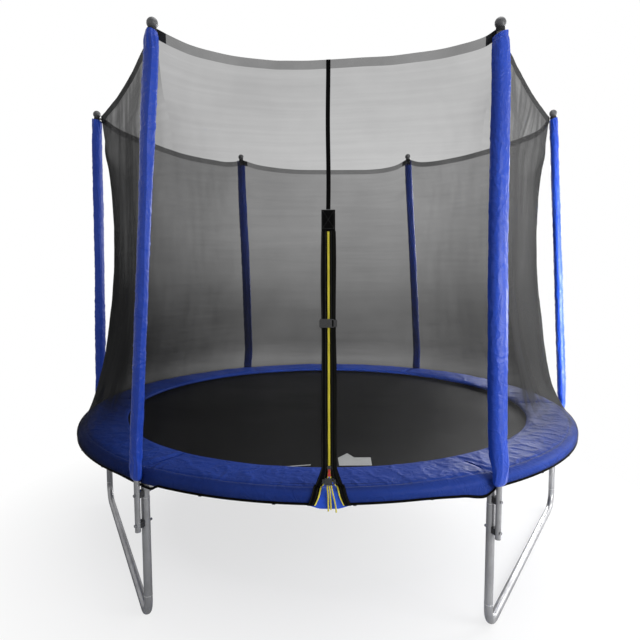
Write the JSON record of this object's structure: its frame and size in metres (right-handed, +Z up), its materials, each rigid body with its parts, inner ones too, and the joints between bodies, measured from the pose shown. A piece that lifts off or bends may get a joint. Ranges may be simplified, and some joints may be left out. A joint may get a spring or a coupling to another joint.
{
  "type": "garden trampoline with safety net",
  "caption": "Round garden trampoline: sprung mat in a steel ring on bent-tube legs, padded rim, leaning padded poles and a safety net with a zipped door held by two buckles.",
  "frame": {"origin": "on the ground under the centre of the ring", "axes": "+Z up, the zipped door faces -Y, +X to the right of someone who faces the door"},
  "size_m": [3.1479, 3.0731, 2.6155],
  "materials": {
    "galvanised_steel": "galvanised, satin",
    "dark_zinc": "dark plated",
    "grey_foam": "closed-cell foam, matte",
    "blue_sleeve": "coated cloth, slightly glossy",
    "blue_pad": "coated cloth, satin",
    "black_plastic": "moulded",
    "black_mat": "fine woven mesh",
    "black_webbing": "woven band",
    "grey_net": "fine open mesh",
    "yellow_tape": "woven zip tape",
    "yellow_cord": "braided cord",
    "red_plastic": "moulded"
  },
  "bodies": {
    "frame": {"top_rail_right": "galvanised_steel", "top_rail_back_right": "galvanised_steel", "top_rail_back_left": "galvanised_steel", "top_rail_left": "galvanised_steel", "top_rail_front_left": "galvanised_steel", "top_rail_front_right": "galvanised_steel", "leg_base_right": "galvanised_steel", "leg_base_back": "galvanised_steel", "leg_base_left": "galvanised_steel", "leg_upright_right": "galvanised_steel", "leg_upright_back_right": "galvanised_steel", "leg_upright_back_left": "galvanised_steel", "leg_upright_left": "galvanised_steel", "leg_upright_front_left": "galvanised_steel", "leg_upright_front_right": "galvanised_steel", "lower_pole_right": "galvanised_steel", "lower_pole_back_right": "galvanised_steel", "lower_pole_back_left": "galvanised_steel", "lower_pole_left": "galvanised_steel", "lower_pole_front_left": "galvanised_steel", "lower_pole_front_right": "galvanised_steel", "upper_poles": "galvanised_steel", "foam_tubes": "grey_foam", "pole_sleeve_right": "blue_sleeve", "pole_sleeve_back_right": "blue_sleeve", "pole_sleeve_back_left": "blue_sleeve", "pole_sleeve_left": "blue_sleeve", "pole_sleeve_front_left": "blue_sleeve", "pole_sleeve_front_right": "blue_sleeve", "pole_caps": "black_plastic", "pole_spacers": "black_plastic", "pole_bolts": "dark_zinc", "pole_nuts": "dark_zinc", "spring_pad_back_right": "blue_pad", "spring_pad_back": "blue_pad", "spring_pad_back_left": "blue_pad", "spring_pad_front_left": "blue_pad", "spring_pad_front": "blue_pad", "spring_pad_front_right": "blue_pad", "springs": "galvanised_steel", "net_panel_back_right": "grey_net", "net_panel_back": "grey_net", "net_panel_back_left": "grey_net", "net_panel_front_left": "grey_net", "net_panel_front": "grey_net", "net_panel_front_right": "grey_net", "net_ties": "black_plastic", "net_corner_straps": "black_webbing", "door_strap": "black_webbing", "zip_bands": "black_webbing", "zip_tape": "yellow_tape", "buckle_sockets": "black_plastic", "pull_cords": "yellow_cord"},
    "mat": {"jumping_mat": "black_mat", "mat_band": "black_webbing", "mat_rings": "dark_zinc"},
    "slider": {"zip_slider": "dark_zinc"},
    "pull": {"zip_pull": "red_plastic"},
    "upper_clip": {"upper_buckle_clip": "black_plastic"},
    "lower_clip": {"lower_buckle_clip": "black_plastic"}
  },
  "joints": [
    {"name": "mat_bounce", "type": "slide", "parent": "frame", "child": "mat", "axis": [0, 0, 1], "range_m": [-0.18, 0], "stiffness_N_per_m": 5000, "springref_m": 0.03, "deforming": ["springs"]},
    {"name": "zip_slide", "type": "slide", "parent": "frame", "child": "slider", "axis": [-0.0093, 0.212, 0.9772], "range_m": [0, 0.95]},
    {"name": "zip_pull_swing", "type": "hinge", "parent": "slider", "child": "pull", "pos_m": [0.06586, -1.50846, 0.79271], "axis": [-0.999, -0.0436, 0], "range_deg": [0, 150]},
    {"name": "upper_buckle_release", "type": "slide", "parent": "frame", "child": "upper_clip", "axis": [0.999, 0.0436, 0], "range_m": [0, 0.045]},
    {"name": "lower_buckle_release", "type": "slide", "parent": "frame", "child": "lower_clip", "axis": [0.999, 0.0436, 0], "range_m": [0, 0.009]}
  ]
}
